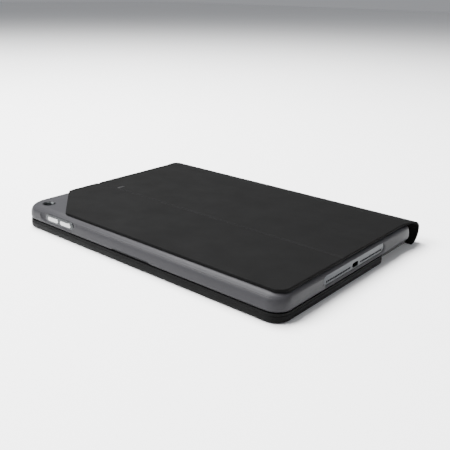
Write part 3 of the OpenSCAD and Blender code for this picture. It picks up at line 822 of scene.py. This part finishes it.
BASE_REAR_R = 5 * MM
# Section of the skin round the base, mm: height, inset; up the outside, over the rim, down inside
BASE_SECTION = [(0.0, 1.7), (0.12, 1.25), (0.35, 0.85), (0.65, 0.5), (1.0, 0.25), (1.5, 0.07), (2.0, 0.0),
                (4.3, 0.0), (4.6, 0.06), (4.75, 0.2), (4.8, 0.38), (4.75, 0.6), (4.6, 0.74), (4.3, 0.8),
                (0.6, 0.8)]


def base_outline(inset):
    return rect(base_lo.x + inset, base_hi.x - inset, base_lo.y + inset, base_hi.y - inset,
                CORNER_R - inset, BASE_REAR_R - inset, 14)


bm = bmesh.new()
loft(bm, [at_z(base_outline(inset * MM), base_lo.z + z * MM) for z, inset in BASE_SECTION])
base = make_object("base_soft_skin", bm)
port_cuts = []
for node, travel in (("charging_socket", 0.0), ("power_switch", 2.5 * MM)):
    lo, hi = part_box(node)
    margin = 0.3 * MM
    outline = rect(lo.y - margin, hi.y + travel + margin, lo.z - margin, hi.z + margin, 0.8 * MM, 0.8 * MM, 5)
    port_cuts.append(cutter([at_x(outline, base_lo.x - 1 * MM), at_x(outline, base_lo.x + 3 * MM)]))
carve(base, port_cuts)
dress(base, "soft_skin", looks["soft_skin"])
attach(base, "keyboard_base")
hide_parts("base_skin")

flap_t = flap_hi.z - flap_lo.z
flap_rows = []
for y in np.linspace(flap_lo.y, flap_hi.y, 40):
    end = min(y - flap_lo.y, flap_hi.y - y)
    squeeze = rounding(end, flap_t / 2)
    groove = 0.25 * MM * math.exp(-(((y - flap_lo.y - 3 * MM) / (0.9 * MM)) ** 2))
    flap_rows.append((yz(y, flap_hi.z - squeeze - groove), yz(0, 1), flap_t - 2 * squeeze - groove,
                      flap_t / 2 - squeeze, flap_t / 2 - squeeze))
flap = strip("rear_flap", [row for row in flap_rows if row[2] > 0.05 * MM], lambda point: flap_hi.x)
dress(flap, "soft_skin", looks["spine_inside"], looks["soft_skin"])
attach(flap, "keyboard_base")
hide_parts("rear_flap_skin", "rear_flap_core")

# Keycaps: one dished cap for each cap of the CAD nodes
KEY_R = 1.2 * MM
# Section of a keycap, mm: inset, drop from the top
KEY_SECTION = [(0.0, 1.7), (0.0, 0.5), (0.05, 0.28), (0.18, 0.1), (0.4, 0.01), (0.8, 0.0), (1.6, 0.05),
               (2.6, 0.1), (4.0, 0.13)]
NUB_KEYS = (3, 6)


def caps_of(node):
    """Boxes of a key node's separate caps, from -X to +X."""
    bm = bmesh.new()
    bm.from_mesh(frame["nodes"][node].data)
    bmesh.ops.remove_doubles(bm, verts=bm.verts, dist=0.001 * MM)
    left, boxes = set(bm.verts), []
    while left:
        stack, seen = [left.pop()], []
        while stack:
            vert = stack.pop()
            seen.append(vert.co.copy())
            for edge in vert.link_edges:
                other = edge.other_vert(vert)
                if other in left:
                    left.remove(other)
                    stack.append(other)
        co = np.array(seen)
        boxes.append((co.min(0), co.max(0)))
    bm.free()
    return sorted(boxes, key=lambda box: box[0][0])


def keycap(bm, lo, hi):
    shallow = min(1.0, ((min(hi[0] - lo[0], hi[1] - lo[1])) / 2 - 1.6 * MM) / (4 * MM))
    rings = []
    for inset, drop in KEY_SECTION:
        d = inset * MM * shallow
        rings.append(at_z(rect(lo[0] + d, hi[0] - d, lo[1] + d, hi[1] - d, max(KEY_R - d * 0.2, 0.6 * MM),
                               max(KEY_R - d * 0.2, 0.6 * MM), 6), hi[2] - min(drop * MM, hi[2] - lo[2])))
    loft(bm, rings)


key_nodes = [row["node"] for row in frame["record"]["subparts"] if row["material_slot"] == "key_plastic"]
for node in key_nodes:
    bm = bmesh.new()
    boxes = caps_of(node)
    for index, (lo, hi) in enumerate(boxes):
        keycap(bm, lo, hi)
        if node == "home_letter_keys" and index in NUB_KEYS:
            cx, y0 = (lo[0] + hi[0]) / 2, lo[1] + 2.2 * MM
            nub = [(cx - 1.6 * MM, cx + 1.6 * MM, y0, y0 + 0.6 * MM, d) for d in (0, 0.12 * MM)]
            loft(bm, [at_z(rect(a + d, b - d, c + d, e - d, 0.25 * MM - d, 0.25 * MM - d, 4), z)
                      for (a, b, c, e, d), z in zip(nub, (hi[2] - 0.4 * MM, hi[2] + 0.03 * MM))])
    caps = make_object(node.replace("keys", "caps").replace("_key", "_cap"), bm, 40)
    if caps.name == node:
        caps.name = node + "_cap"
    dress(caps, "key_plastic", looks["key_plastic"])
    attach(caps, node)
    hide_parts(node)


# ---------------------------------------------------------------- stage, light and camera

FLOOR = 6.0
bm = bmesh.new()
loft(bm, [at_z(rect(-FLOOR, FLOOR, -FLOOR, FLOOR, 0.5, 0.5), z) for z in (-0.02, cad_box[0].z - 0.0002)])
floor = make_object("floor", bm)
s = Shader("floor_paper", 0.85)
s.colour(s.blend(s.noise(0.4), grey(0.86), grey(0.90)))
floor.data.materials.append(s.material)

world = bpy.data.worlds.new("studio")
world.use_nodes = True
world.node_tree.nodes["Background"].inputs["Color"].default_value = (0.93, 0.95, 1.0, 1.0)
world.node_tree.nodes["Background"].inputs["Strength"].default_value = 0.35
bpy.context.scene.world = world


def soft_light(name, place, size, power, target=(0, 0, 0)):
    light = bpy.data.lights.new(name, "AREA")
    light.shape, light.size, light.energy = "DISK", size, power
    lamp = bpy.data.objects.new(name, light)
    lamp.location = place
    lamp.rotation_mode = "QUATERNION"
    lamp.rotation_quaternion = (Vector(target) - Vector(place)).to_track_quat("-Z", "Y")
    bpy.context.scene.collection.objects.link(lamp)


soft_light("key", (-0.7, -0.9, 1.1), 0.9, 72)
soft_light("top", (-0.6, 0.2, 1.5), 1.1, 115)
soft_light("fill", (1.2, -0.3, 0.5), 0.8, 3)

# Camera: azimuth, elevation and roll in degrees, distance and slide of the target in metres
AZIMUTH, ELEVATION, ROLL = 40.75, 20.406, 1.089
DISTANCE, SLIDE = 0.50193, (-0.00866, 0.00484)
SENSOR, LENS, SHIFT = 36.0, 51.496, (0.04107, 0.00407)
a, e, r = (math.radians(v) for v in (AZIMUTH, ELEVATION, ROLL))
back = Vector((math.sin(a) * math.cos(e), -math.cos(a) * math.cos(e), math.sin(e)))
level = Vector((math.cos(a), math.sin(a), 0))
rise = back.cross(level)
right = level * math.cos(r) + rise * math.sin(r)
up = rise * math.cos(r) - level * math.sin(r)
camera = bpy.data.cameras.new("camera")
camera.sensor_width, camera.lens = SENSOR, LENS
camera.shift_x, camera.shift_y = SHIFT
camera.clip_start, camera.clip_end = 0.01, 20
shot = bpy.data.objects.new("camera", camera)
shot.matrix_world = Matrix.Translation(back * DISTANCE + right * SLIDE[0] + up * SLIDE[1]) @ Matrix(
    (right, up, back)).transposed().to_4x4()
bpy.context.scene.collection.objects.link(shot)
bpy.context.scene.camera = shot
